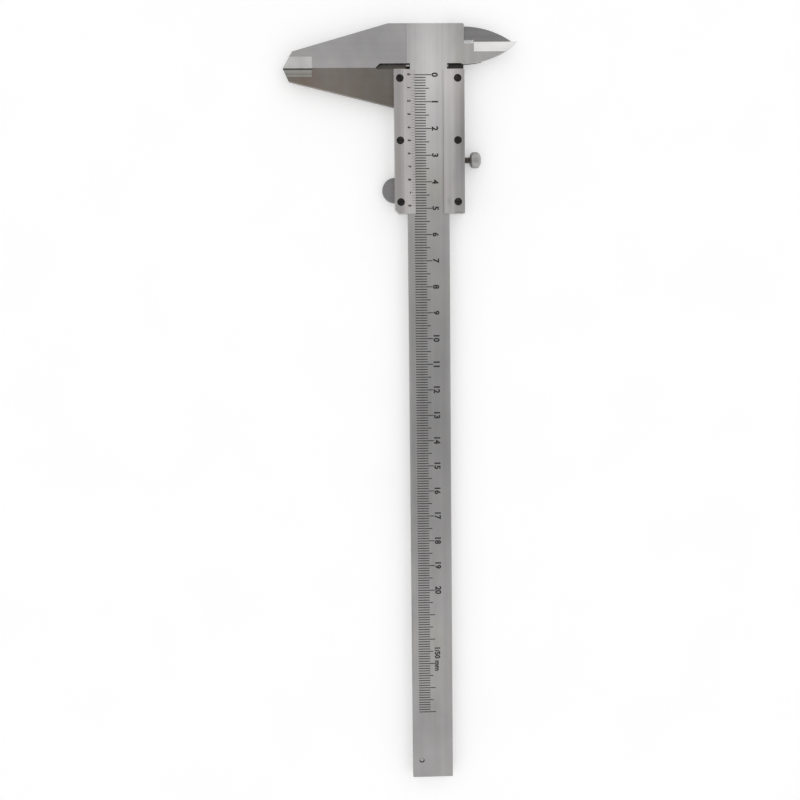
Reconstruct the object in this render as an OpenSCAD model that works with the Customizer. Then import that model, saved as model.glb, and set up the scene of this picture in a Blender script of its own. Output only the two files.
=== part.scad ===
// Vernier caliper for 0 to 200 mm, with outside jaws, inside nibs, a depth rod and a lock screw.
// +X runs along the beam from the head to the far end, +Y points to the inside nibs and the lock
// screw, +Z out of the reading face. X = 0 is the plane in which the closed outside jaws meet,
// Y = 0 is the beam's centreline, and Z = 0 is the slider's back, on which the caliper lies.

/* [Beam] */
// Width of the beam across its two guide edges
beam_w = 16; // [15:0.5:16]
// Thickness of the beam
beam_t = 3.5; // [3.4:0.1:4]
// Distance from the closed jaws to the beam's far end
beam_reach = 280; // [276:1:300]
// Chamfer along the beam's long edges
beam_chamfer = 0.3; // [0.1:0.1:0.5]
// Width of the depth rod's channel in the beam's back
channel_w = 4; // [3.8:0.1:5]
// Depth of the depth rod's channel
channel_d = 1.8; // [1.7:0.1:2.2]
// Distance of the channel's closed end from the measuring plane
channel_start = 30; // [20:1:38]

/* [Outside jaws] */
// Distance from the beam's centreline to the jaw tips
jaw_reach = 54.9; // [50:0.1:60]
// Thickness of both outside jaws
jaw_t = 3.2; // [3:0.1:3.4]
// Height of the fixed head above the measuring plane
head_h = 16.3; // [16.2:0.1:20]
// Distance from the centreline to the corner where the head's long slope starts
head_shoulder = 14.9; // [14:0.1:18]
// Height of the fixed jaw's nose above the measuring plane
fixed_nose_h = 6.05; // [5:0.05:8]
// Distance that the fixed jaw's nose leans back from its tip
fixed_nose_run = 3.7; // [2:0.1:5]
// Height of the sliding jaw's nose below the measuring plane
slide_nose_h = 4.9; // [4:0.1:7]
// Distance that the sliding jaw's nose leans back from its tip
slide_nose_run = 2.2; // [1:0.1:4]
// Depth of the sliding jaw at its root
slide_heel = 14.7; // [12:0.1:20]
// Height of the relief slot cut in the head beside the beam
relief_h = 1.5; // [1:0.1:2]
// Distance from the centreline to the relief slot's outer end
relief_end = 18.2; // [16:0.1:22]
// Depth of the relief at the sliding jaw's root
slide_relief = 0.6; // [0.5:0.05:1]
// Gap between the sliding jaw's ledge and the relief slot's walls
ledge_gap = 0.1; // [0.1:0.05:0.5]
// Thickness of the sliding jaw's ledge
ledge_t = 0.6; // [0.4:0.1:1]
// Depth that the relief slot undercuts the beam's jaw side
undercut_jaw = 1.2; // [0.5:0.1:1.5]
// Depth that the relief slot undercuts the beam's nib side
undercut_nib = 0.6; // [0.3:0.1:1]
// Length of the thinned jaw tips
tip_l = 11.2; // [8:0.1:14]
// Width of the bevel on the fixed jaw's tip
fixed_tip_bevel = 4.1; // [3:0.1:4.5]
// Width of the bevel on the sliding jaw's tip
slide_tip_bevel = 3.3; // [2.5:0.1:4.5]
// Thickness of the tips' measuring edge
tip_edge = 0.7; // [0.4:0.1:1]

/* [Inside nibs] */
// Distance from the beam's centreline to the nib tips
nib_reach = 34.1; // [30:0.05:38]
// Distance from the beam's centreline to the tip of the sliding nib
slide_nib_reach = 32; // [28:0.1:33]
// Height of the inside-measuring edges above the measuring plane
nib_level = 9.7; // [9:0.1:10]
// Height of the fixed nib's lower corner above the measuring plane
nib_root = 1.1; // [1:0.1:1.5]
// Height of the sliding nib's upper corner above the measuring plane
nib_crown = 15.4; // [15:0.1:16]
// Distance from the centreline to where the inside-measuring edges start
nib_heel = 17.55; // [16:0.05:20]
// Depth of the step at the start of the inside-measuring edges
nib_step = 0.9; // [0.5:0.1:1.2]
// Width of the bevel that sharpens each nib
nib_bevel = 3.85; // [3:0.05:4.5]
// Thickness of the inside-measuring edges
nib_edge = 0.25; // [0.1:0.05:0.4]
// Width of the blunt end at each nib's tip
nib_blunt = 0.2; // [0.1:0.1:0.4]

/* [Slider] */
// Length of the slider along the beam
slider_l = 54; // [53.6:0.2:60]
// Distance from the measuring plane to the slider's front end
slider_start = 0.8; // [0.2:0.1:0.9]
// Distance from the centreline to the slider's jaw side
slider_left = 12.9; // [12.5:0.1:14]
// Distance from the centreline to the slider's nib side
slider_right = 13.8; // [13.6:0.1:14.5]
// Thickness of the slider's back
back_t = 1.6; // [1.4:0.1:2]
// Length of the back's lip that laps behind the head
back_lip = 1.8; // [1:0.1:2]
// Thickness of the vernier plate and the guide plate
plate_t = 1.6; // [1.4:0.1:2]
// Distance from the centreline to the vernier plate's reading edge
vernier_edge = 5; // [4.5:0.1:5.4]
// Width of the vernier plate's sloping face
vernier_slope = 4.4; // [3.5:0.1:4.4]
// Thickness of the vernier plate's reading edge
vernier_lip = 0.2; // [0.1:0.1:0.4]
// Distance from the centreline to the guide plate's inner edge
guide_edge = 5.8; // [5:0.1:6.5]
// Width of the guide plate's sloping face
guide_slope = 3.8; // [3:0.1:3.8]
// Thickness of the guide plate's inner edge
guide_lip = 0.8; // [0.4:0.1:1.2]
// Chamfer on the slider's lower jaw-side corner
corner_cut = 1.5; // [1:0.1:2]
// Depth of the shallow arch in the guide plate's lower end
arch_d = 0.8; // [0.4:0.1:1]
// Width of the shallow arch in the guide plate's lower end
arch_w = 4.4; // [3:0.1:4.6]

/* [Plate screws] */
// Diameter of the screw heads
head_d = 2.8; // [2.4:0.1:3]
// Depth of the screw heads
head_t = 0.9; // [0.7:0.1:1.1]
// Diameter of the screw shanks
shank_d = 1.6; // [1.4:0.1:1.8]
// Length of the screws under the head
shank_l = 4.2; // [3.5:0.1:4.4]
// Distance from the measuring plane to the first screw
screw_first = 4.2; // [4:0.1:5]
// Spacing of the screws
screw_pitch = 23.1; // [22:0.1:23.2]
// Distance of the vernier plate's screws from the centreline
screw_left = 10.7; // [10.4:0.1:11]
// Distance of the guide plate's screws from the centreline
screw_right = 11.2; // [11:0.1:11.6]

/* [Lock screw] */
// Distance from the measuring plane to the lock screw's axis
lock_x = 34.6; // [32:0.1:40]
// Diameter of the threaded hole in the slider
lock_hole_d = 2.5; // [2.2:0.1:2.8]
// Length of the knob
knob_l = 4.4; // [4:0.1:6]
// Diameter of the knob
knob_d = 6.1; // [5.5:0.1:6.6]
// Gap between the slider and the knob
knob_gap = 2.1; // [1:0.1:2.5]
// Distance the screw can still be tightened
lock_travel = 0.3; // [0.2:0.05:0.3]

/* [Thumb rest] */
// Radius of the thumb rest
thumb_r = 4.8; // [4:0.1:6]
// Distance from the measuring plane to the thumb rest's middle
thumb_x = 45.8; // [40:0.1:48]
// Thickness of the thumb rest
thumb_t = 3.2; // [2.5:0.1:4]

/* [Depth rod] */
// Width of the depth rod
rod_w = 3.6; // [3.2:0.1:3.6]
// Thickness of the depth rod
rod_t = 1.5; // [1.2:0.1:1.5]
// Distance from the measuring plane to the start of the rod's thick root
rod_root = 42; // [40:0.5:43]
// Spacing of the two screws in the rod's root
rod_screw_pitch = 6; // [5:0.5:6]

/* [Gib] */
// Thickness of the gib leaf
gib_t = 0.3; // [0.2:0.05:0.3]
// Height of the gib leaf
gib_h = 2.8; // [2:0.1:3]
// Distance that the leaf's ends spring away from the beam
gib_bow = 0.27; // [0.1:0.01:0.27]

/* [Stop pin] */
// Distance from the measuring plane to the stop pin
pin_x = 273; // [271:1:274]
// Distance of the stop pin from the centreline
pin_y = 4.45; // [4:0.05:5]
// Diameter of the stop pin
pin_d = 2; // [1.8:0.1:2.4]
// Height that the stop pin stands proud of the beam's back
pin_proud = 0.8; // [0.5:0.1:1]
// Depth of the stop pin's front end below the beam's face
pin_sink = 0.35; // [0.1:0.05:0.5]

/* [Fits] */
// Running gap between the beam and the slider
run_gap = 0.05; // [0.03:0.01:0.06]
// Gap between the closed measuring faces
jaw_gap = 0.01; // [0.01:0.01:0.02]
// Radial clearance of the lock screw and of the screw shanks
thread_gap = 0.05; // [0.03:0.01:0.08]

/* [Hidden] */
$fn = 72;
over = 1; // how far a cutting tool reaches past what it cuts

half_w = beam_w / 2;
beam_z = back_t + run_gap;
beam_top = beam_z + beam_t;
plate_z = beam_top + run_gap;
plate_top = plate_z + plate_t;
jaw_z = beam_z + (beam_t - jaw_t) / 2;
jaw_top = jaw_z + jaw_t;
mid_z = beam_z + beam_t / 2;
nib_split = mid_z + run_gap / 2; // front half's lower face
slider_end = slider_start + slider_l;
rail_left = half_w + run_gap; // inner face of the jaw-side rail
gib_room = gib_bow + gib_t + run_gap;
pocket_y = rail_left + gib_room; // floor of the gib's pocket in the nib-side rail
pocket_margin = 2.2; // length of the pocket's closed ends
end_room = 0.3; // room past the end of a screw in its hole
nib_run = nib_reach - slider_right;

stud_r = lock_hole_d / 2 - thread_gap;
stud_start = rail_left + gib_t + lock_travel + run_gap;
knob_y = slider_right + knob_gap;
knob_bore_l = 3;
stud_end = knob_y + knob_bore_l - end_room;

rod_screw_r = 0.8;
rod_screw_head_r = 1.3;
rod_screw_head_t = 0.6;
rod_screw_l = 2.9;
rod_screw_x = rod_root + 3;

// Radius of an arc that starts level and drops by `drop` over `run`.
function arc_radius(run, drop) = (run * run + drop * drop) / (2 * drop);

// Points [y, z] drawn as a profile and drawn out along X from x0 to x1.
module along_x(points, x0, x1) {
    translate([x0, 0, 0]) rotate([90, 0, 90]) linear_extrude(height = x1 - x0) polygon(points);
}

// Points [x, z] drawn as a profile and drawn out along Y from y0 to y1.
module along_y(points, y0, y1) {
    translate([0, y1, 0]) rotate([90, 0, 0]) linear_extrude(height = y1 - y0) polygon(points);
}

// Points [x, y] drawn as an outline and drawn out along Z from z0 to z1.
module plate(points, z0, z1) {
    translate([0, 0, z0]) linear_extrude(height = z1 - z0) polygon(points);
}

// A box between two corners.
module block(low, high) {
    translate(low) cube(high - low);
}

// Two wedges, from the front and from the back, that thin a jaw's tip to its measuring edge.
// side is -1 for the jaw above the measuring plane and 1 for the jaw below it.
module tip_wedges(side, width) {
    half_edge = tip_edge / 2;
    for (front = [-1, 1])
        along_y(
            [
                [side * width, mid_z + front * (jaw_t / 2)],
                [side * width, mid_z + front * (jaw_t / 2 + over)],
                [-side * over, mid_z + front * (jaw_t / 2 + over)],
                [-side * over, mid_z + front * (half_edge - over * (jaw_t / 2 - half_edge) / width)]
            ],
            -jaw_reach - over,
            -jaw_reach + tip_l
        );
}

module fixed_jaw() {
    difference() {
        plate(
            [
                [0, -jaw_reach],
                [-fixed_nose_h, -jaw_reach + fixed_nose_run],
                [-head_h, -head_shoulder],
                [-head_h, 0],
                [-relief_h, 0],
                [-relief_h, -relief_end],
                [0, -relief_end - relief_h]
            ],
            jaw_z,
            jaw_top
        );
        tip_wedges(-1, fixed_tip_bevel);
    }
}

// The fixed nib lies in the front half of the beam's thickness.
module fixed_nib() {
    corner = 0.4;
    arc_r = arc_radius(nib_run, nib_level - nib_blunt - nib_root);
    plate(
        [
            [-head_h, 0],
            [-head_h, slider_right - corner],
            [-head_h + corner, slider_right],
            [-nib_root, slider_right],
            [-relief_h, slider_right - (relief_h - nib_root)],
            [-relief_h, 0]
        ],
        nib_split,
        beam_top
    );
    difference() {
        intersection() {
            block([-nib_level, slider_right - over, nib_split], [-nib_root, nib_reach, beam_top]);
            translate([-nib_root - arc_r, slider_right, 0]) cylinder(r = arc_r, h = plate_top);
        }
        block(
            [-nib_level - over, 0, 0],
            [-nib_level + nib_step, nib_heel, plate_top]
        );
        along_y(
            [
                [-nib_level + nib_bevel, beam_top],
                [-nib_level, nib_split + nib_edge],
                [-nib_level - over, nib_split + nib_edge],
                [-nib_level - over, plate_top],
                [-nib_level + nib_bevel, plate_top]
            ],
            nib_heel,
            nib_reach + over
        );
    }
}

module beam() {
    c = beam_chamfer;
    head_end = slider_start - 0.1; // the head's full-width part ends short of the slider
    color("silver")
        difference() {
            union() {
                along_x(
                    [
                        [-half_w + c, beam_z],
                        [half_w - c, beam_z],
                        [half_w, beam_z + c],
                        [half_w, beam_top - c],
                        [half_w - c, beam_top],
                        [-half_w + c, beam_top],
                        [-half_w, beam_top - c],
                        [-half_w, beam_z + c]
                    ],
                    -relief_h,
                    beam_reach
                );
                block([-head_h, -half_w, beam_z], [-relief_h, half_w, beam_top]);
                fixed_jaw();
                fixed_nib();
            }
            block([-relief_h, -half_w - over, 0], [head_end, -half_w + undercut_jaw, plate_top]);
            block([-relief_h, half_w - undercut_nib, 0], [head_end, half_w + over, plate_top]);
            block(
                [channel_start, -channel_w / 2, beam_z - over],
                [beam_reach + over, channel_w / 2, beam_z + channel_d]
            );
            translate([pin_x, -pin_y, 0]) cylinder(d = pin_d, h = plate_top);
        }
}

// The pin's front end is domed.
module stop_pin() {
    dome = 0.25;
    pin_top = beam_top - pin_sink - dome;
    dome_r = arc_radius(pin_d / 2, dome);
    color("gray")
        translate([pin_x, -pin_y, 0])
            intersection() {
                translate([0, 0, beam_z - pin_proud])
                    cylinder(d = pin_d, h = pin_top + dome - beam_z + pin_proud);
                translate([0, 0, pin_top + dome - dome_r]) sphere(r = dome_r);
            }
}

module sliding_jaw() {
    flank = (jaw_reach - slide_nose_run - slider_left) / (slide_heel - slide_nose_h);
    root_y = slider_left - 1;
    difference() {
        plate(
            [
                [jaw_gap, -jaw_reach],
                [slide_nose_h, -jaw_reach + slide_nose_run],
                [slide_heel + (slider_left - root_y) / flank, -root_y],
                [slide_relief, -root_y],
                [slide_relief, -relief_end - relief_h + slide_relief],
                [jaw_gap, -relief_end - relief_h]
            ],
            jaw_z,
            jaw_top
        );
        tip_wedges(1, slide_tip_bevel);
    }
    // The relief isn't cut right through: a thin ledge is left behind the slot.
    ledge = relief_h - ledge_gap;
    plate(
        [
            [-ledge, -rail_left],
            [-ledge, -relief_end],
            [0, -relief_end - ledge],
            [slide_relief + over, -relief_end - ledge],
            [slide_relief + over, -rail_left]
        ],
        jaw_z,
        jaw_z + ledge_t
    );
}

// The sliding nib lies in the back half of the beam's thickness, behind the fixed nib.
module sliding_nib() {
    nib_top = nib_split - run_gap;
    arc_r = arc_radius(slide_nib_reach - slider_right, nib_crown - nib_level - nib_blunt);
    difference() {
        union() {
            block(
                [-nib_crown, rail_left, beam_z],
                [slider_start + over, slider_right - run_gap, nib_top]
            );
            intersection() {
                block(
                    [-nib_crown, slider_right - over, beam_z],
                    [-nib_level, slide_nib_reach, nib_top]
                );
                translate([-nib_crown + arc_r, slider_right, 0])
                    cylinder(r = arc_r, h = plate_top);
            }
        }
        block(
            [-nib_level - nib_step, slider_right - run_gap, 0],
            [-nib_level + over, nib_heel, plate_top]
        );
        along_y(
            [
                [-nib_level - nib_bevel, beam_z],
                [-nib_level, nib_top - nib_edge],
                [-nib_level + over, nib_top - nib_edge],
                [-nib_level + over, 0],
                [-nib_level - nib_bevel, 0]
            ],
            nib_heel,
            nib_reach + over
        );
    }
}

// Both rows of plate screws, as children placed at each screw's place.
module at_screws(y) {
    for (i = [0:2]) translate([screw_first + i * screw_pitch, y, 0]) children();
}

// The slider's outline in plan, with its lower jaw-side corner cut off.
module slider_outline(y0, y1, z0, z1) {
    plate(
        [
            [slider_start, y0],
            [slider_start, y1],
            [slider_end, y1],
            [slider_end, y0 + corner_cut],
            [slider_end - corner_cut, y0]
        ],
        z0,
        z1
    );
}

module slider_body() {
    pocket_x0 = slider_start + pocket_margin;
    pocket_x1 = slider_end - pocket_margin;
    color("darkgray")
        difference() {
            union() {
                difference() {
                    union() {
                        slider_outline(-slider_left, slider_right, 0, plate_z);
                        translate([thumb_x, -slider_left, 0]) cylinder(r = thumb_r, h = thumb_t);
                    }
                    block(
                        [slider_start - over, -rail_left, back_t],
                        [slider_end + over, rail_left, plate_z + over]
                    );
                    block([pocket_x0, 0, back_t], [pocket_x1, pocket_y, plate_z + over]);
                }
                block(
                    [slider_start - back_lip, -slider_left, 0],
                    [slider_start + over, half_w, back_t]
                );
                sliding_jaw();
                sliding_nib();
            }
            for (y = [-screw_left, screw_right])
                at_screws(y)
                    translate([0, 0, plate_top - head_t - shank_l - end_room])
                        cylinder(d = shank_d + 2 * thread_gap, h = plate_t + shank_l);
            translate([lock_x, 0, mid_z])
                rotate([-90, 0, 0]) cylinder(d = lock_hole_d, h = slider_right + over);
            for (i = [0:1])
                translate([rod_screw_x + i * rod_screw_pitch, 0, 0]) {
                    translate([0, 0, -over]) cylinder(r = rod_screw_head_r, h = over);
                    cylinder(r1 = rod_screw_head_r, r2 = rod_screw_r, h = rod_screw_head_t);
                    cylinder(r = rod_screw_r, h = back_t + over);
                }
        }
}

// Holes through a plate for a row of screws, each with a seat for the head.
module screw_seats(y) {
    at_screws(y) {
        cylinder(d = shank_d + 2 * thread_gap, h = plate_top + over);
        translate([0, 0, plate_top - head_t])
            cylinder(d = head_d + 2 * thread_gap, h = head_t + over);
    }
}

module vernier_plate() {
    color("gainsboro")
        difference() {
            slider_outline(-slider_left, -vernier_edge, plate_z, plate_top);
            along_x(
                [
                    [-vernier_edge - vernier_slope, plate_top],
                    [-vernier_edge, plate_z + vernier_lip],
                    [-vernier_edge + over, plate_z + vernier_lip],
                    [-vernier_edge + over, plate_top + over],
                    [-vernier_edge - vernier_slope, plate_top + over]
                ],
                0,
                slider_end + over
            );
            screw_seats(-screw_left);
        }
}

module guide_plate() {
    arch_r = arc_radius(arch_w / 2, arch_d);
    color("gainsboro")
        difference() {
            block([slider_start, guide_edge, plate_z], [slider_end, slider_right, plate_top]);
            along_x(
                [
                    [guide_edge + guide_slope, plate_top],
                    [guide_edge, plate_z + guide_lip],
                    [guide_edge - over, plate_z + guide_lip],
                    [guide_edge - over, plate_top + over],
                    [guide_edge + guide_slope, plate_top + over]
                ],
                0,
                slider_end + over
            );
            translate([slider_end - arch_d + arch_r, screw_right, 0])
                cylinder(r = arch_r, h = plate_top + over);
            screw_seats(screw_right);
        }
}

// One cheese-head screw with a driver slot, its head flush with the plate.
module plate_screw() {
    slot_w = 0.4;
    slot_d = 0.35;
    difference() {
        union() {
            translate([0, 0, plate_top - head_t]) cylinder(d = head_d, h = head_t);
            translate([0, 0, plate_top - head_t - shank_l]) cylinder(d = shank_d, h = shank_l);
        }
        rotate([0, 0, 30])
            block([-head_d, -slot_w / 2, plate_top - slot_d], [head_d, slot_w / 2, plate_top + over]);
    }
}

module vernier_plate_screws() {
    color("dimgray") at_screws(-screw_left) plate_screw();
}

module guide_plate_screws() {
    color("dimgray") at_screws(screw_right) plate_screw();
}

// A leaf with a flat middle along the beam and ends that spring out to the rail.
module gib_spring() {
    near = rail_left + 0.01;
    flat_x0 = slider_start + 9;
    flat_x1 = slider_end - 9;
    end_x0 = slider_start + pocket_margin + 0.4;
    end_x1 = slider_end - pocket_margin - 0.4;
    side = [
        [end_x0, near + gib_bow],
        [flat_x0, near],
        [flat_x1, near],
        [end_x1, near + gib_bow]
    ];
    color("peru")
        plate(
            concat(side, [for (i = [3:-1:0]) side[i] + [0, gib_t]]),
            mid_z - gib_h / 2,
            mid_z + gib_h / 2
        );
}

module lock_screw_stud() {
    tip = 0.4; // chamfer on the end that presses the gib
    color("dimgray")
        translate([lock_x, stud_start, mid_z])
            rotate([-90, 0, 0]) {
                cylinder(r1 = stud_r - tip, r2 = stud_r, h = tip);
                translate([0, 0, tip]) cylinder(r = stud_r, h = stud_end - stud_start - tip);
            }
}

// The knob is a body of revolution: a bevelled inner face, a cylindrical grip and a domed end.
module lock_screw_knob() {
    r = knob_d / 2;
    dome = arc_radius(r, 1.6);
    color("lightgray")
        translate([lock_x, knob_y, mid_z])
            rotate([-90, 0, 0])
                difference() {
                    intersection() {
                        cylinder(r = r, h = knob_l);
                        union() {
                            cylinder(r1 = r - 0.8, r2 = r, h = 0.8);
                            translate([0, 0, 0.8]) cylinder(r = r, h = knob_l);
                        }
                        translate([0, 0, knob_l - dome]) sphere(r = dome);
                    }
                    translate([0, 0, -over]) cylinder(r = stud_r + 0.02, h = knob_bore_l + over);
                }
}

// The rod runs in the beam's channel, and its thick root stands on the slider's back.
module depth_rod() {
    rod_z = beam_z + (channel_d - rod_t) / 2;
    root_end = slider_end - 0.8;
    nose = 6; // length of the relieved end
    color("silver")
        difference() {
            union() {
                block([rod_root, -rod_w / 2, back_t], [root_end, rod_w / 2, rod_z + rod_t]);
                block([root_end, -rod_w / 2, rod_z], [beam_reach, rod_w / 2, rod_z + rod_t]);
            }
            plate(
                [
                    [beam_reach - nose, rod_w / 2 + over],
                    [beam_reach - nose, rod_w / 2],
                    [beam_reach - nose + 1, rod_w / 2 - 1],
                    [beam_reach + over, rod_w / 2 - 1],
                    [beam_reach + over, rod_w / 2 + over]
                ],
                0,
                plate_z
            );
            for (i = [0:1])
                translate([rod_screw_x + i * rod_screw_pitch, 0, 0])
                    cylinder(r = rod_screw_r, h = rod_screw_l);
        }
}

module depth_rod_screws() {
    slot_w = 0.4;
    slot_d = 0.3;
    color("dimgray")
        for (i = [0:1])
            translate([rod_screw_x + i * rod_screw_pitch, 0, 0])
                difference() {
                    union() {
                        cylinder(r1 = rod_screw_head_r, r2 = rod_screw_r, h = rod_screw_head_t);
                        translate([0, 0, rod_screw_head_t])
                            cylinder(r = rod_screw_r, h = rod_screw_l - rod_screw_head_t);
                    }
                    block(
                        [-rod_screw_head_r, -slot_w / 2, -over],
                        [rod_screw_head_r, slot_w / 2, slot_d]
                    );
                }
}

beam();
stop_pin();
slider_body();
vernier_plate();
guide_plate();
vernier_plate_screws();
guide_plate_screws();
gib_spring();
lock_screw_stud();
lock_screw_knob();
depth_rod();
depth_rod_screws();
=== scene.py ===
"""Vernier caliper for 0 to 200 mm: its finished pieces, their metals, and the studio they lie in.

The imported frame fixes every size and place. +X runs along the beam from the head to the far end,
+Y points to the inside nibs and the lock screw, and +Z comes out of the reading face.
"""

import logging
import math
from collections.abc import Callable
from dataclasses import dataclass
from enum import Enum

import bmesh
import bpy
from mathutils import Matrix, Vector

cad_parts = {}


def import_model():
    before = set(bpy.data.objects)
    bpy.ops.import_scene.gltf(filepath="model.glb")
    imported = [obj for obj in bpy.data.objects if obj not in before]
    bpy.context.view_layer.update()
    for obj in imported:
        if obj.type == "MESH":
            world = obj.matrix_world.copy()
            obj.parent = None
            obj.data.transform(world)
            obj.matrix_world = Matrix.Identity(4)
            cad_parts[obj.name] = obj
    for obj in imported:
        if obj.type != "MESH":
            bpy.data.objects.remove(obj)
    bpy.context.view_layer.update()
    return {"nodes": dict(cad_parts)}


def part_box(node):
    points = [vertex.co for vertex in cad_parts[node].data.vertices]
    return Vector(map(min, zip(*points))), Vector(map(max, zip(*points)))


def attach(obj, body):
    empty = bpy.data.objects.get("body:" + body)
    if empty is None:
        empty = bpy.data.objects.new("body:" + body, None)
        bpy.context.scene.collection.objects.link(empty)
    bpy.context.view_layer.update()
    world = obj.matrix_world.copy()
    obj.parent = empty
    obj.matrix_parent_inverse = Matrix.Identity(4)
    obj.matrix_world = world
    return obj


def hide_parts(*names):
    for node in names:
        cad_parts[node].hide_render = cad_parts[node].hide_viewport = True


LOG = logging.getLogger("caliper")
MM = 0.001
SHARP = math.radians(25)  # an edge that turns more than this is softened
CREASE = math.radians(11)  # an edge that turns more than this is kept crisp
MERGE = 1e-6  # vertices of a frame mesh closer than this are one
FLAT = math.radians(0.3)  # faces of a frame mesh that turn less than this are one
SLOPE = (0.85, 0.99)  # how far up or down the slope of a thinned edge looks
SLIGHTLY = 0.3  # a face looks slightly along an axis when its normal reaches this far along it
MAINLY = 0.5  # it looks mainly that way from here
SQUARELY = 0.9  # and squarely from here
CLOUD_CELLS = (55.0, 90.0, 90.0)  # how many faint clouds lie in a metre
PATCH_CELLS = (38.0, 70.0, 70.0)  # how many stained patches lie in a metre
MOTTLE_CELLS = (1800.0, 1800.0, 1800.0)  # how many grains of a coating lie in a metre
RUBBED_CELLS = (420.0, 420.0, 420.0)  # how many rubbed spots lie in a metre
STREAK_CELLS = 0.13  # how many broad streaks there are to one fine line
STREAKED = (0.25, 0.75)  # the range of a noise that broad streaks are read over
MIDDLING = (0.3, 0.7)  # the range that most of a noise's values lie in
STAINED = (0.52, 0.72)  # the range of a noise where a stain comes up
DULLED = (0.5, 0.7)  # the range of a noise where a stain makes the metal duller
RUBBED = (0.5, 0.8)  # the range of a noise where a coating is rubbed
STAIN_DULLS = 0.08  # how much duller a stain is than the metal round it
GROUND_SPREAD = 0.05  # how far the dullness of ground metal varies each way
COATED_SPREAD = 0.08  # how far that of a coating does
COATED_DEPTH = 3.0e-6  # the height of a coating's grains, in metres
TO_Y = Matrix.Rotation(math.radians(-90), 4, "X")  # turns a shape made along +Z to +Y


class Grain(Enum):
    """Direction of the fine lines that grinding leaves, as how many noise cells lie in a metre."""

    ALONG = (45.0, 5200.0, 5200.0)
    ACROSS = (5200.0, 60.0, 5200.0)
    NONE = (2600.0, 2600.0, 2600.0)


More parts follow.
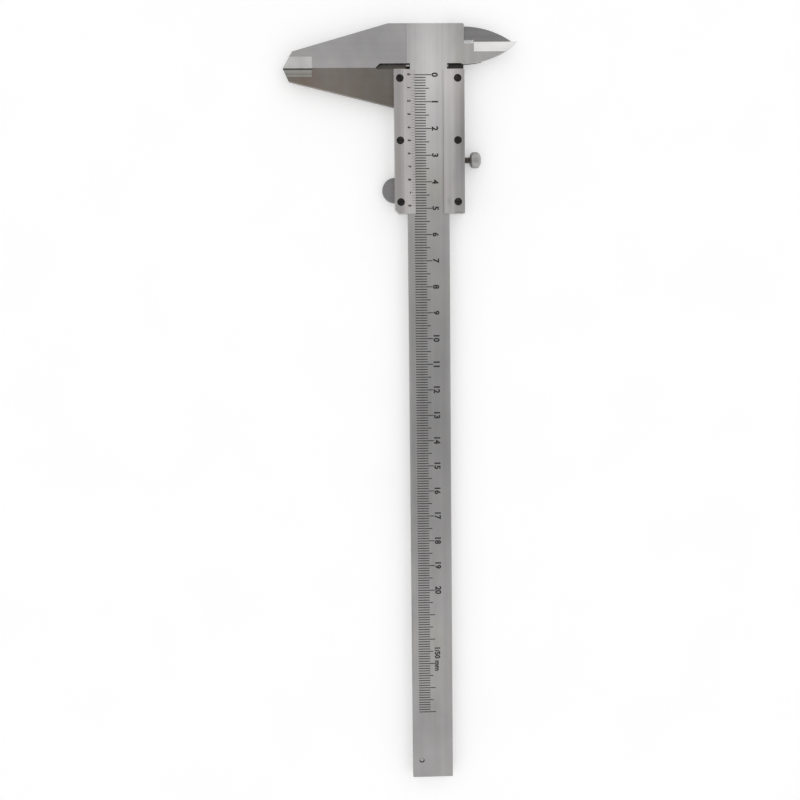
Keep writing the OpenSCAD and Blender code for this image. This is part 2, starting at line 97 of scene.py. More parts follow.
class Graph:
    """A node tree that is filled one named node at a time."""

    def __init__(self, tree: bpy.types.NodeTree) -> None:
        """Empties the tree.

        Args:
            tree: the node tree of a material or of the world.
        """
        tree.nodes.clear()
        self.tree = tree

    def add(self, kind: str, inputs: dict | None = None, **settings: object) -> bpy.types.Node:
        """Adds a node.

        Args:
            kind: the node's type.
            inputs: socket name or number to a value, or to the output socket that feeds it.
            **settings: attributes of the node itself.

        Returns:
            The new node.
        """
        node = self.tree.nodes.new(kind)
        for name, value in settings.items():
            setattr(node, name, value)
        for name, value in (inputs or {}).items():
            if isinstance(value, bpy.types.NodeSocket):
                self.tree.links.new(value, node.inputs[name])
            else:
                node.inputs[name].default_value = value
        return node

    def place(self) -> bpy.types.NodeSocket:
        """Returns the position on the object, in metres."""
        return self.add("ShaderNodeTexCoord").outputs["Object"]

    def noise(
        self, place: bpy.types.NodeSocket, cells: tuple[float, ...], detail: float
    ) -> bpy.types.NodeSocket:
        """Adds a noise with its own cell size in each direction.

        Args:
            place: the position to read it at.
            cells: how many cells lie in a metre along X, Y and Z.
            detail: how many finer layers it has.

        Returns:
            The noise's value, from 0 to 1 with its mean near a half.
        """
        spread = self.add("ShaderNodeVectorMath", {0: place, 1: cells}, operation="MULTIPLY")
        made = self.add(
            "ShaderNodeTexNoise", {"Vector": spread.outputs[0], "Scale": 1.0, "Detail": detail}
        )
        return made.outputs["Fac"]

    def remap(
        self,
        value: bpy.types.NodeSocket,
        low: float,
        high: float,
        to: tuple[float, float],
        kind: str = "LINEAR",
    ) -> bpy.types.NodeSocket:
        """Maps one range onto another, and clamps it.

        Args:
            value: what is mapped.
            low: where its range starts.
            high: where its range ends.
            to: what the start and the end turn into.
            kind: how it runs from one to the other.

        Returns:
            The mapped value.
        """
        made = self.add(
            "ShaderNodeMapRange",
            {"Value": value, "From Min": low, "From Max": high, "To Min": to[0], "To Max": to[1]},
            interpolation_type=kind,
        )
        return made.outputs["Result"]

    def ease(
        self, value: bpy.types.NodeSocket, low: float, high: float, to: tuple[float, float]
    ) -> bpy.types.NodeSocket:
        """Returns the value mapped onto another range, with a soft start and end."""
        return self.remap(value, low, high, to, "SMOOTHSTEP")

    def calc(self, what: str, a: object, b: object = 0.0) -> bpy.types.NodeSocket:
        """Returns a Math node's result for the operation named."""
        return self.add("ShaderNodeMath", {0: a, 1: b}, operation=what).outputs[0]

    def mix(self, share: object, a: object, b: object) -> bpy.types.NodeSocket:
        """Turns one colour into another.

        Args:
            share: how far it has turned, from 0 to 1.
            a: the first colour.
            b: the second colour.

        Returns:
            The colour between them.
        """
        made = self.add("ShaderNodeMix", data_type="RGBA")
        for socket, value in ((made.inputs[0], share), (made.inputs[6], a), (made.inputs[7], b)):
            if isinstance(value, bpy.types.NodeSocket):
                self.tree.links.new(value, socket)
            else:
                socket.default_value = value
        return made.outputs[2]

    def fading(self, place: bpy.types.NodeSocket, spot: "Spot") -> bpy.types.NodeSocket:
        """Makes a spot that is strongest at its middle and fades out.

        Args:
            place: the position to read it at.
            spot: the spot.

        Returns:
            Its gain at the middle, falling to 0 at its reach.
        """
        middle = (spot.x * MM, spot.y * MM, 0.0)
        share = (1 / (spot.reach_x * MM), 1 / (spot.reach_y * MM), 0.0)
        away = self.add("ShaderNodeVectorMath", {0: place, 1: middle}, operation="SUBTRACT")
        scaled = self.add(
            "ShaderNodeVectorMath", {0: away.outputs[0], 1: share}, operation="MULTIPLY"
        )
        length = self.add("ShaderNodeVectorMath", {0: scaled.outputs[0]}, operation="LENGTH")
        return self.ease(length.outputs["Value"], 1.0, 0.0, (0.0, spot.gain))

    def curve(
        self, value: bpy.types.NodeSocket, stops: tuple[tuple[float, float], ...]
    ) -> bpy.types.NodeSocket:
        """Makes a grey that follows a row of stops.

        Args:
            value: the position to read it at.
            stops: each stop's position and brightness, in rising order of position.

        Returns:
            The grey.
        """
        first, last = stops[0][0], stops[-1][0]
        ramp = self.add("ShaderNodeValToRGB", {0: self.remap(value, first, last, (0.0, 1.0))})
        ramp.color_ramp.interpolation = "EASE"
        points = ramp.color_ramp.elements
        while len(points) < len(stops):
            points.new(0.5)
        for point, (at, grey) in zip(points, stops, strict=True):
            point.position = (at - first) / (last - first)
            point.color = (grey, grey, grey, 1.0)
        return ramp.outputs["Color"]


@dataclass(frozen=True)
class Spot:
    """A soft-edged place painted brighter or darker, used for painted highlights, painted shade and
    stains.

    Attributes:
        x: its middle along X, in mm.
        y: its middle along Y, in mm.
        reach_x: how far it fades out along X, in mm.
        reach_y: how far it fades out along Y, in mm.
        gain: how much brighter its middle is, or darker below 0.
    """

    x: float
    y: float
    reach_x: float
    reach_y: float
    gain: float


@dataclass(frozen=True)
class Steel:
    """A ground metal surface: fine lines, soft streaks, faint clouds, handling stains, and painted
    highlights and painted shade.

    Attributes:
        name: the material's name.
        tone: the metal's colour.
        roughness: how dull it is on average.
        grain: the direction of its fine lines.
        line_depth: how deep the fine lines are, in metres.
        streak: how much the broad streaks change its brightness.
        cloud: how much the faint clouds change its brightness.
        stain: the colour that its stained patches turn to.
        stained: how far they turn to it.
        along: painted shade and light at places along X, as (X in mm, share of tone).
        spots: its painted highlights, painted shade and stains.
    """

    name: str
    tone: tuple[float, float, float]
    roughness: float = 0.34
    grain: Grain = Grain.ALONG
    line_depth: float = 2.0e-6
    streak: float = 0.10
    cloud: float = 0.08
    stain: tuple[float, float, float] = (0.30, 0.25, 0.21)
    stained: float = 0.25
    along: tuple[tuple[float, float], ...] = ()
    spots: tuple[Spot, ...] = ()

    def build(self) -> bpy.types.Material:
        """Makes the material.

        Returns:
            The material, which reads its patterns from the object's own coordinates.
        """
        material = bpy.data.materials.new(self.name)
        material.use_nodes = True
        graph = Graph(material.node_tree)
        place = graph.place()
        fine = graph.noise(place, self.grain.value, 3.0)
        broad = graph.noise(place, tuple(c * STREAK_CELLS for c in self.grain.value), 2.0)
        cloud = graph.noise(place, CLOUD_CELLS, 3.0)
        patch = graph.noise(place, PATCH_CELLS, 4.0)

        streaks = graph.remap(broad, *STREAKED, (1 - self.streak, 1 + self.streak))
        clouds = graph.remap(cloud, *MIDDLING, (1 - self.cloud, 1 + self.cloud))
        shade = graph.calc("MULTIPLY", streaks, clouds)
        if self.along:
            position = graph.add("ShaderNodeSeparateXYZ", {0: place}).outputs["X"]
            level = graph.curve(position, tuple((at * MM, grey / 2) for at, grey in self.along))
            shade = graph.calc("MULTIPLY", shade, graph.calc("MULTIPLY", level, 2.0))
        for spot in self.spots:
            shade = graph.calc("ADD", shade, graph.fading(place, spot))
        stains = graph.remap(patch, *STAINED, (0.0, self.stained))
        colour = graph.mix(stains, (*self.tone, 1.0), (*self.stain, 1.0))
        shaded = graph.add("ShaderNodeVectorMath", {0: colour, "Scale": shade}, operation="SCALE")

        least, most = self.roughness - GROUND_SPREAD, self.roughness + GROUND_SPREAD
        rough = graph.remap(fine, *MIDDLING, (least, most))
        rougher = graph.calc("ADD", rough, graph.remap(patch, *DULLED, (0.0, STAIN_DULLS)))
        bump = graph.add(
            "ShaderNodeBump", {"Height": fine, "Strength": 1.0, "Distance": self.line_depth}
        )
        shader = graph.add(
            "ShaderNodeBsdfPrincipled",
            {
                "Base Color": shaded.outputs[0],
                "Metallic": 1.0,
                "Roughness": rougher,
                "Normal": bump.outputs[0],
            },
        )
        graph.add("ShaderNodeOutputMaterial", {"Surface": shader.outputs[0]})
        return material


@dataclass(frozen=True)
class Coating:
    """A thin dull layer on metal, such as black oxide or the paint in engraved lines.

    Attributes:
        name: the material's name.
        tone: the layer's colour.
        worn: the colour of its rubbed spots.
        roughness: how dull it is.
        metallic: 1 where the layer still shines as metal, 0 for paint.
    """

    name: str
    tone: tuple[float, float, float]
    worn: tuple[float, float, float]
    roughness: float
    metallic: float = 0.0

    def build(self) -> bpy.types.Material:
        """Makes the material.

        Returns:
            The material, which reads its patterns from the object's own coordinates.
        """
        material = bpy.data.materials.new(self.name)
        material.use_nodes = True
        graph = Graph(material.node_tree)
        place = graph.place()
        mottle = graph.noise(place, MOTTLE_CELLS, 3.0)
        rubbed = graph.remap(graph.noise(place, RUBBED_CELLS, 3.0), *RUBBED, (0.0, 1.0))
        colour = graph.mix(rubbed, (*self.tone, 1.0), (*self.worn, 1.0))
        least, most = self.roughness - COATED_SPREAD, self.roughness + COATED_SPREAD
        rough = graph.remap(mottle, *MIDDLING, (least, most))
        bump = graph.add("ShaderNodeBump", {"Height": mottle, "Distance": COATED_DEPTH})
        shader = graph.add(
            "ShaderNodeBsdfPrincipled",
            {
                "Base Color": colour,
                "Metallic": self.metallic,
                "Roughness": rough,
                "Normal": bump.outputs[0],
            },
        )
        graph.add("ShaderNodeOutputMaterial", {"Surface": shader.outputs[0]})
        return material


BEAM_STEEL = Steel(
    "beam_steel_satin",
    (0.55, 0.54, 0.538),
    streak=0.06,
    stain=(0.54, 0.525, 0.475),
    stained=0.7,
    # The along stops paint shade along the beam, darkest near X 150 and bright again at both ends;
    # the first spot is a painted highlight over the head, the second lifts the beam a little near X
    # 72.
    along=((-16, 1.0), (30, 0.98), (66, 0.82), (104, 0.79), (150, 0.73), (205, 0.93), (280, 1.0)),
    spots=(Spot(0.0, 1.0, 46.0, 13.0, 0.58), Spot(72.0, 4.0, 26.0, 9.0, 0.06)),
)
# The beam's side walls and chamfers are rougher, and their tone is darker than the face's as
# painted shade.
BEAM_SIDE_STEEL = Steel("beam_side_steel_dull_painted_shade", (0.36, 0.355, 0.35), roughness=0.45)
JAW_STEEL = Steel(
    "jaw_steel_ground",
    (0.485, 0.475, 0.475),
    roughness=0.40,
    grain=Grain.ACROSS,
    streak=0.04,
    stain=(0.50, 0.49, 0.45),
    stained=0.4,
)
# Lapped measuring faces and thinned tips are smoother, and toned far paler than the beam as a
# painted highlight.
EDGE_STEEL = Steel(
    "lapped_edge_steel_painted_highlight",
    (0.89, 0.88, 0.875),
    roughness=0.22,
    grain=Grain.ACROSS,
    line_depth=0.6e-6,
    streak=0.05,
)
# The along stops paint a dark band of shade along the tip's first half millimetre, next to the
# fixed jaw, and a faint darker dip near X 2.5.
SLIDING_TIP_STEEL = Steel(
    "sliding_tip_steel_honed_painted_shade",
    (0.30, 0.30, 0.28),
    roughness=0.3,
    grain=Grain.ACROSS,
    along=((0.0, 0.25), (0.45, 0.25), (0.8, 1.1), (1.4, 1.1), (2.5, 0.85), (2.9, 1.1), (3.4, 1.1)),
)
SLIDER_STEEL = Steel(
    "slider_steel_dull", (0.295, 0.29, 0.295), roughness=0.42, grain=Grain.ACROSS, stained=0.2
)
# The jaw's dark brown tone is a painted reflection, and its spot paints shade, darker towards the
# jaw's root.
SLIDING_JAW_STEEL = Steel(
    "sliding_jaw_steel_painted_reflection",
    (0.25, 0.232, 0.212),
    roughness=0.42,
    grain=Grain.ACROSS,
    streak=0.04,
    stain=(0.235, 0.182, 0.145),
    stained=0.7,
    spots=(Spot(6.0, -14.0, 40.0, 24.0, -0.18),),
)
PLATE_STEEL = Steel(
    "plate_steel_satin",
    (0.505, 0.49, 0.488),
    stain=(0.48, 0.43, 0.40),
    stained=0.4,
    # The first spot is a painted highlight on the guide plate near the head, the second paints
    # shade on its outer band; the last two are stains.
    spots=(
        Spot(2.0, 8.0, 42.0, 7.0, 0.32),
        Spot(26.0, 13.2, 36.0, 3.4, -0.30),
        Spot(50.0, 7.6, 2.6, 1.2, -0.14),
        Spot(41.0, 9.5, 5.0, 1.5, -0.06),
    ),
)
# Painted shade: near-black for the relief slots' walls and floor and the stop pin's sides, where
# shade falls.
SHADED_RECESS_STEEL = Steel(
    "recess_steel_painted_shade", (0.07, 0.066, 0.062), roughness=0.55, grain=Grain.NONE, stained=0.1
)
# Painted shade: dark for the ledge floor seen through the jaw's relief slot.
SHADED_LEDGE_STEEL = Steel("ledge_steel_painted_shade", (0.20, 0.185, 0.165), roughness=0.5, grain=Grain.NONE)
ROD_STEEL = Steel("rod_steel_drawn", (0.52, 0.51, 0.50), roughness=0.30)
PIN_STEEL = Steel("pin_steel_turned", (0.50, 0.49, 0.48), grain=Grain.NONE)
# The stud is plain dark grey.
STUD_STEEL = Steel("stud_steel_dark", (0.20, 0.18, 0.17), roughness=0.38, grain=Grain.NONE)
KNOB_NICKEL = Steel("knob_nickel_matt", (0.44, 0.43, 0.425), roughness=0.44, grain=Grain.NONE)
GIB_BRONZE = Steel(
    "gib_bronze_rolled", (0.72, 0.42, 0.20), roughness=0.32, stain=(0.35, 0.18, 0.10)
)
BLACK_OXIDE = Coating("screw_black_oxide", (0.022, 0.019, 0.019), (0.06, 0.055, 0.052), 0.42, 0.6)
SCALE_PAINT = Coating("scale_paint_black", (0.018, 0.016, 0.016), (0.05, 0.046, 0.044), 0.62)
VERNIER_PAINT = Coating("vernier_paint_grey", (0.06, 0.055, 0.055), (0.12, 0.11, 0.11), 0.62)


def slopes(face: bmesh.types.BMFace) -> bool:
    """Tells whether a face is the slope of a thinned edge."""
    return SLOPE[0] < abs(face.normal.z) < SLOPE[1]


class Workshop:
    """Makes each material once, and turns frame nodes and new meshes into finished pieces."""

    def __init__(self, nodes: dict[str, bpy.types.Object]) -> None:
        """Keeps the frame's nodes.

        Args:
            nodes: the frame's objects by name.
        """
        self.nodes = nodes
        self.materials: dict[str, bpy.types.Material] = {}

    def material(self, finish: Steel | Coating) -> bpy.types.Material:
        """Looks up a finish's material, and makes it at its first use.

        Args:
            finish: the finish.

        Returns:
            Its material.
        """
        if finish.name not in self.materials:
            self.materials[finish.name] = finish.build()
        return self.materials[finish.name]

    def outline(self, node: str) -> bmesh.types.BMesh:
        """Copies a frame node's shape as a mesh of merged, whole faces.

        Args:
            node: the node's name.

        Returns:
            The mesh, in the row frame.
        """
        bm = bmesh.new()
        bm.from_mesh(self.nodes[node].data)
        bmesh.ops.remove_doubles(bm, verts=bm.verts, dist=MERGE)
        bmesh.ops.dissolve_limit(
            bm, angle_limit=FLAT, verts=bm.verts, edges=bm.edges, delimit={"NORMAL"}
        )
        return bm

    def cut(self, bm: bmesh.types.BMesh, places: tuple[float, ...]) -> None:
        """Splits a mesh's faces across X, so that a finish can end there.

        Args:
            bm: the mesh.
            places: the X of each cut, in mm.
        """
        for place in places:
            everything = list(bm.verts) + list(bm.edges) + list(bm.faces)
            bmesh.ops.bisect_plane(
                bm, geom=everything, dist=MERGE, plane_co=(place * MM, 0, 0), plane_no=(1, 0, 0)
            )

    def soften(self, bm: bmesh.types.BMesh, width: float) -> None:
        """Rounds every sharp edge, and keeps the crease beside a slope crisp.

        Args:
            bm: the mesh.
            width: the rounding's width, in metres.
        """
        for edge in bm.edges:
            edge.smooth = edge.calc_face_angle(0.0) < CREASE
        sharp = [edge for edge in bm.edges if edge.calc_face_angle(0.0) > SHARP]
        bmesh.ops.bevel(
            bm,
            geom=sharp,
            offset=width,
            offset_type="OFFSET",
            segments=2,
            profile=0.5,
            affect="EDGES",
            clamp_overlap=False,
            material=-1,
        )

    def dress(
        self,
        bm: bmesh.types.BMesh,
        finishes: list[Steel],
        pick: Callable[[bmesh.types.BMFace], Steel],
    ) -> None:
        """Gives every face of a mesh the finish that suits it.

        Args:
            bm: the mesh.
            finishes: the piece's finishes, in the order of its material slots.
            pick: tells which of them a face gets.
        """
        for face in bm.faces:
            face.material_index = finishes.index(pick(face))

    def finish(
        self,
        bm: bmesh.types.BMesh,
        name: str,
        body: str,
        finishes: list[Steel | Coating],
        slot: str,
        smooth: bool = True,
    ) -> bpy.types.Object:
        """Turns a mesh into a piece that rides on a body.

        Args:
            bm: the mesh, in the row frame. It is freed.
            name: the piece's name.
            body: the body that it moves with.
            finishes: its finishes, in the order of its faces' material numbers.
            slot: not used.
            smooth: whether its faces are shaded smooth, with flat faces kept flat.

        Returns:
            The piece.
        """
        for face in bm.faces:
            face.smooth = smooth
        mesh = bpy.data.meshes.new(name)
        bm.to_mesh(mesh)
        bm.free()
        for finish in finishes:
            mesh.materials.append(self.material(finish))
        piece = bpy.data.objects.new(name, mesh)
        bpy.context.scene.collection.objects.link(piece)
        if smooth:
            weighted = piece.modifiers.new("flat_faces", "WEIGHTED_NORMAL")
            weighted.weight = 100
            weighted.keep_sharp = True
        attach(piece, body)
        LOG.info("%s: %d faces, rides on %s", name, len(mesh.polygons), body)
        return piece

    def refine(
        self, node: str, body: str, finish: Steel | Coating, slot: str, width: float
    ) -> None:
        """Replaces a frame node by the same shape with softened edges and one finish.

        Args:
            node: the node's name.
            body: the body that it moves with.
            finish: its finish.
            slot: not used.
            width: the width of its edges' rounding, in metres.
        """
        bm = self.outline(node)
        self.soften(bm, width)
        piece = self.finish(bm, node + "_finished", body, [finish], slot)
        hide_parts(node)


@dataclass
class Scale:
    """Engraved graduation lines and figures on a flat face.

    Attributes:
        face: turns a point on the face, in metres, into the row frame.
        sunk: how far the paint reaches below the face, in metres.
        proud: how far it stands above the face, in metres.
    """

    face: Matrix
    sunk: float = 0.03 * MM
    proud: float = 0.004 * MM

    def line(self, bm: bmesh.types.BMesh, x: float, low: float, high: float, width: float) -> None:
        """Adds one line across the face.

        Args:
            bm: the mesh that it is added to.
            x: its place along the face, in mm.
            low: where it starts across the face, in mm.
            high: where it ends across the face, in mm.
            width: its width, in mm.
        """
        centre = Vector((x * MM, (low + high) / 2 * MM, (self.proud - self.sunk) / 2))
        size = (width * MM, (high - low) * MM, self.proud + self.sunk, 1.0)
        bmesh.ops.create_cube(
            bm, size=1.0, matrix=self.face @ Matrix.Translation(centre) @ Matrix.Diagonal(size)
        )

    def figure(
        self, bm: bmesh.types.BMesh, text: str, x: float, y: float, height: float, bold: float
    ) -> None:
        """Adds a figure that reads upright with +X to its right.

        Args:
            bm: the mesh that it is added to.
            text: its characters.
            x: its middle along the face, in mm.
            y: its middle across the face, in mm.
            height: its height, in mm.
            bold: how much thicker its strokes are, as a share of the font's size.
        """
        curve = bpy.data.curves.new("figure", "FONT")
        curve.body = text
        curve.resolution_u = 3
        curve.offset = bold
        curve.extrude = 0.5
        holder = bpy.data.objects.new("figure", curve)
        bpy.context.scene.collection.objects.link(holder)
        bpy.context.view_layer.update()
        evaluated = holder.evaluated_get(bpy.context.evaluated_depsgraph_get())
        flat = bpy.data.meshes.new_from_object(evaluated)
        bpy.data.objects.remove(holder)
        bpy.data.curves.remove(curve)
        xs = [v.co.x for v in flat.vertices]
        ys = [v.co.y for v in flat.vertices]
        scale = height * MM / (max(ys) - min(ys))
        centre = Vector(((max(xs) + min(xs)) / 2, (max(ys) + min(ys)) / 2, 0.0))
        thick = self.proud + self.sunk
        flat.transform(Matrix.Translation(-centre))
        flat.transform(Matrix.Diagonal((scale, scale, thick, 1.0)))
        flat.transform(Matrix.Translation((x * MM, y * MM, (self.proud - self.sunk) / 2)))
        flat.transform(self.face)
        bm.from_mesh(flat)
        bpy.data.meshes.remove(flat)


@dataclass
class Beam:
    """The beam with the fixed head, its engraved scale and the stop pin.

    Attributes:
        shop: makes the pieces.
        edge_w: the width of the rounding on its edges, in mm.
        head_slot: X of the head's lower edge, in mm.
        slot_x: X where the relief slots start and end, in mm.
        slot_y: Y of the inner ends of the jaw's and the nib's slots, in mm.
        slot_end: Y of the jaw slot's outer end, in mm.
        lapped_x: X where the measuring faces start and end, in mm.
        jaw_side: Y past which the jaw is finished apart from the beam, in mm.
        nib_start: Y where the inside-measuring edge starts, in mm.
        tip_start: Y where the jaw tip is thinned, in mm.
        pin_edge_w: the width of the rounding on the stop pin's end, in mm.
        pin_top: how far up a face of the pin must look to keep the pin's steel; steeper faces get
            painted shade.
        zero: X of the scale's zero line, in mm.
        centimetres: how far the scale runs.
        numbered: the last centimetre with a number.
        line_y: where the lines start and where the short, middle and long ones end, in mm.
        line_w: the lines' width, in mm.
        figure_y: the middle of the figures, in mm.
        figure_h: the figures' height, in mm.
        figure_bold: how much thicker their strokes are, as a share of the font's size.
        note: the vernier's resolution.
        note_at: the middle of the note along X and Y, in mm.
        note_h: the note's height, in mm.
        note_bold: how much thicker its strokes are, as a share of the font's size.
    """

    shop: Workshop
    edge_w: float = 0.09
    head_slot: float = -1.5
    slot_x: tuple[float, float] = (-1.7, 1.0)
    slot_y: tuple[float, float] = (-6.5, 7.0)
    slot_end: float = -20.0
    lapped_x: tuple[float, float] = (-10.0, 0.2)
    jaw_side: float = -8.05
    nib_start: float = 17.5
    tip_start: float = -43.7
    pin_edge_w: float = 0.15
    pin_top: float = 0.93
    zero: float = 2.75
    centimetres: int = 25
    numbered: int = 20
    line_y: tuple[float, float, float, float] = (-5.45, -0.87, 0.38, 1.25)
    line_w: float = 0.34
    figure_y: float = 2.6
    figure_h: float = 2.5
    figure_bold: float = 0.042
    note: str = "1/50 mm"
    note_at: tuple[float, float] = (231.0, 2.1)
    note_h: float = 2.2
    note_bold: float = 0.04

    def build(self) -> None:
        """Makes the beam's pieces."""
        self.build_steel()
        self.build_scale()
        self.build_pin()

    def build_steel(self) -> None:
        """Makes the forging, with its jaw, its beam and its thinned edges finished differently."""
        bm = self.shop.outline("beam")
        self.shop.cut(bm, (self.head_slot,))
        self.shop.soften(bm, self.edge_w * MM)
        finishes = [BEAM_STEEL, JAW_STEEL, EDGE_STEEL, BEAM_SIDE_STEEL, SHADED_RECESS_STEEL]
        self.shop.dress(bm, finishes, self.pick)
        piece = self.shop.finish(bm, "beam_finished", "beam", finishes, "beam_steel")
        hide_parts("beam")

    def pick(self, face: bmesh.types.BMFace) -> Steel:
        """Picks the finish of one face of the forging.

        Args:
            face: the face.

        Returns:
            Its finish.
        """
        middle = face.calc_center_median() / MM
        normal = face.normal
        tip = middle.y < self.tip_start or middle.y > self.nib_start
        in_slot = self.slot_x[0] < middle.x < self.slot_x[1] and (
            self.slot_end < middle.y < self.slot_y[0] or middle.y > self.slot_y[1]
        )
        lapped = (
            abs(normal.x) > SQUARELY
            and self.lapped_x[0] < middle.x < self.lapped_x[1]
            and not self.slot_end < middle.y < self.nib_start
        )
        # The slot's walls get painted shade.
        if in_slot and abs(normal.z) < MAINLY:
            return SHADED_RECESS_STEEL
        if lapped or (tip and slopes(face)):
            return EDGE_STEEL
        if middle.y < self.jaw_side:
            return JAW_STEEL
        if abs(normal.y) > SLIGHTLY:
            return BEAM_SIDE_STEEL
        return BEAM_STEEL

    def build_pin(self) -> None:
        """Makes the stop pin, with painted shade on its steep sides where it is pressed into the
        beam.
        """
        bm = self.shop.outline("stop_pin")
        self.shop.soften(bm, self.pin_edge_w * MM)
        finishes = [PIN_STEEL, SHADED_RECESS_STEEL]
        self.shop.dress(
            bm,
            finishes,
            lambda face: PIN_STEEL if face.normal.z >= self.pin_top else SHADED_RECESS_STEEL,
        )
        piece = self.shop.finish(bm, "stop_pin_finished", "beam", finishes, "pin_steel")
        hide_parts("stop_pin")

    def build_scale(self) -> None:
        """Makes the millimetre lines, the centimetre figures and the unit note."""
        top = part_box("beam")[1].z
        scale = Scale(Matrix.Translation((0.0, 0.0, top)))
        lines = bmesh.new()
        start, short, middle, long = self.line_y
        for mm in range(self.centimetres * 10 + 1):
            end = long if mm % 10 == 0 else middle if mm % 5 == 0 else short
            scale.line(lines, self.zero + mm, start, end, self.line_w)
        self.shop.finish(
            lines, "beam_scale_lines", "beam", [SCALE_PAINT], "black_oxide", smooth=False
        )
        figures = bmesh.new()
        for cm in range(self.numbered + 1):
            x = self.zero + cm * 10
            scale.figure(figures, str(cm), x, self.figure_y, self.figure_h, self.figure_bold)
        scale.figure(figures, self.note, *self.note_at, self.note_h, self.note_bold)
        self.shop.finish(
            figures, "beam_scale_figures", "beam", [SCALE_PAINT], "black_oxide", smooth=False
        )


@dataclass
class Slider:
    """The slider: its body with the sliding jaw, its two plates, their screws and the gib.

    Attributes:
        shop: makes the pieces.
        edge_w: the width of the rounding on the body's edges, in mm.
        screw_edge_w: the width of the rounding on its screws' edges, in mm.
        vernier_turns: how far each of the vernier plate's screws is turned, in degrees.
        guide_turns: how far each of the guide plate's screws is turned, in degrees.
        relief_from: X where the relief beside the head starts, in mm.
        relief_to: X of the slider's front end, in mm.
        relief_past: X up to which a face's middle still lies in the relief, in mm.
        relief_top: height above the back that the relief's floor stays under, in mm.
        root_x: X where the body's sides are split, short of the depth rod's screws, in mm.
        slot_end: Y of the relief's outer end, in mm.
        ledge_end: Y of the ledge's inner end, in mm.
        jaw_from: Y where the sliding jaw starts, in mm.
        jaw_to: X that the sliding jaw stays short of, in mm.
        lapped_to: X that the jaw's measuring face stays short of, in mm.
        tip_start: Y where the jaw tip is thinned, in mm.
        nib_start: Y where the inside-measuring edge starts, in mm.
        rail_from: height above the back where the rails start, in mm.
        zero: X of the vernier's zero line, in mm.
        divisions: how many divisions the vernier has.
        pitch: the length of one division, in mm.
        numbered: how many divisions lie from one number to the next.
        slope: how far the vernier plate's sloping face runs and drops, in mm.
        line_len: a plain line's length, in mm.
        long_len: a numbered line's length, in mm.
        line_gap: how far the lines stay off the plate's edge, in mm.
        line_w: the lines' width, in mm.
        figure_y: how far down the slope the figures' middle is, as a Y on it, in mm.
        figure_h: the figures' height, in mm.
        figure_bold: how much thicker their strokes are, as a share of the font's size.
    """

    shop: Workshop
    edge_w: float = 0.09
    screw_edge_w: float = 0.06
    vernier_turns: tuple[float, ...] = (0.0, 38.0, 81.0)
    guide_turns: tuple[float, ...] = (115.0, 12.0, 57.0)
    relief_from: float = -1.6
    relief_to: float = 0.8
    relief_past: float = 1.0
    relief_top: float = 3.5
    root_x: float = 40.0
    slot_end: float = -20.0
    ledge_end: float = -8.0
    jaw_from: float = -13.0
    jaw_to: float = 20.0
    lapped_to: float = 0.1
    tip_start: float = -43.7
    nib_start: float = 17.5
    rail_from: float = 1.65
    zero: float = 2.75
    divisions: int = 50
    pitch: float = 0.98
    numbered: int = 5
    slope: tuple[float, float] = (4.4, 1.4)
    line_len: float = 1.45
    long_len: float = 1.9
    line_gap: float = 0.1
    line_w: float = 0.11
    figure_y: float = -2.45
    figure_h: float = 1.25
    figure_bold: float = 0.07

    def build(self) -> None:
        """Makes the slider's pieces."""
        shop = self.shop
        self.build_body()
        shop.refine("vernier_plate", "slider", PLATE_STEEL, "plate_steel", width=0.07 * MM)
        shop.refine("guide_plate", "slider", PLATE_STEEL, "plate_steel", width=0.09 * MM)
        shop.refine("gib_spring", "slider", GIB_BRONZE, "phosphor_bronze", width=0.04 * MM)
        shop.refine("depth_rod", "slider", ROD_STEEL, "rod_steel", width=0.08 * MM)
        shop.refine("depth_rod_screws", "slider", BLACK_OXIDE, "black_oxide", width=0.05 * MM)
        self.build_screws("vernier_plate_screws", self.vernier_turns)
        self.build_screws("guide_plate_screws", self.guide_turns)
        self.build_vernier()

    def build_body(self) -> None:
        """Makes the body with its sliding jaw, its nib and its thumb rest."""
        bm = self.shop.outline("slider_body")
        self.shop.cut(bm, (self.relief_from, self.relief_to, self.root_x))
        self.shop.soften(bm, self.edge_w * MM)
        finishes = [
            SLIDER_STEEL,
            SLIDING_JAW_STEEL,
            SHADED_RECESS_STEEL,
            SLIDING_TIP_STEEL,
            EDGE_STEEL,
            PLATE_STEEL,
            SHADED_LEDGE_STEEL,
        ]
        self.shop.dress(bm, finishes, self.pick)
        piece = self.shop.finish(bm, "slider_body_finished", "slider", finishes, "slider_steel")
        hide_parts("slider_body")

    def pick(self, face: bmesh.types.BMFace) -> Steel:
        """Picks the finish of one face of the body.

        Args:
            face: the face.

        Returns:
            Its finish.
        """
        middle = face.calc_center_median() / MM
        normal = face.normal
        relief = self.relief_from < middle.x < self.relief_past and middle.y > self.slot_end
        floor = relief and normal.z > MAINLY
        jaw = middle.y < self.jaw_from and middle.x < self.jaw_to
        lapped = jaw and normal.x < -SQUARELY and middle.x < self.lapped_to
        side = middle.x > self.relief_to and middle.y > self.jaw_from
        # The relief's floor and walls get painted shade, dark on the ledge and near-black deeper
        # in.
        if floor and middle.y < self.ledge_end:
            return SHADED_LEDGE_STEEL
        if (floor and middle.z < self.relief_top) or (relief and normal.x < -MAINLY):
            return SHADED_RECESS_STEEL
        if jaw and slopes(face) and middle.y < self.tip_start:
            return SLIDING_TIP_STEEL
        if lapped or (slopes(face) and middle.y > self.nib_start):
            return EDGE_STEEL
        if jaw:
            return SLIDING_JAW_STEEL
        if side and (middle.z > self.rail_from or abs(normal.y) > SQUARELY):
            return PLATE_STEEL
        return SLIDER_STEEL

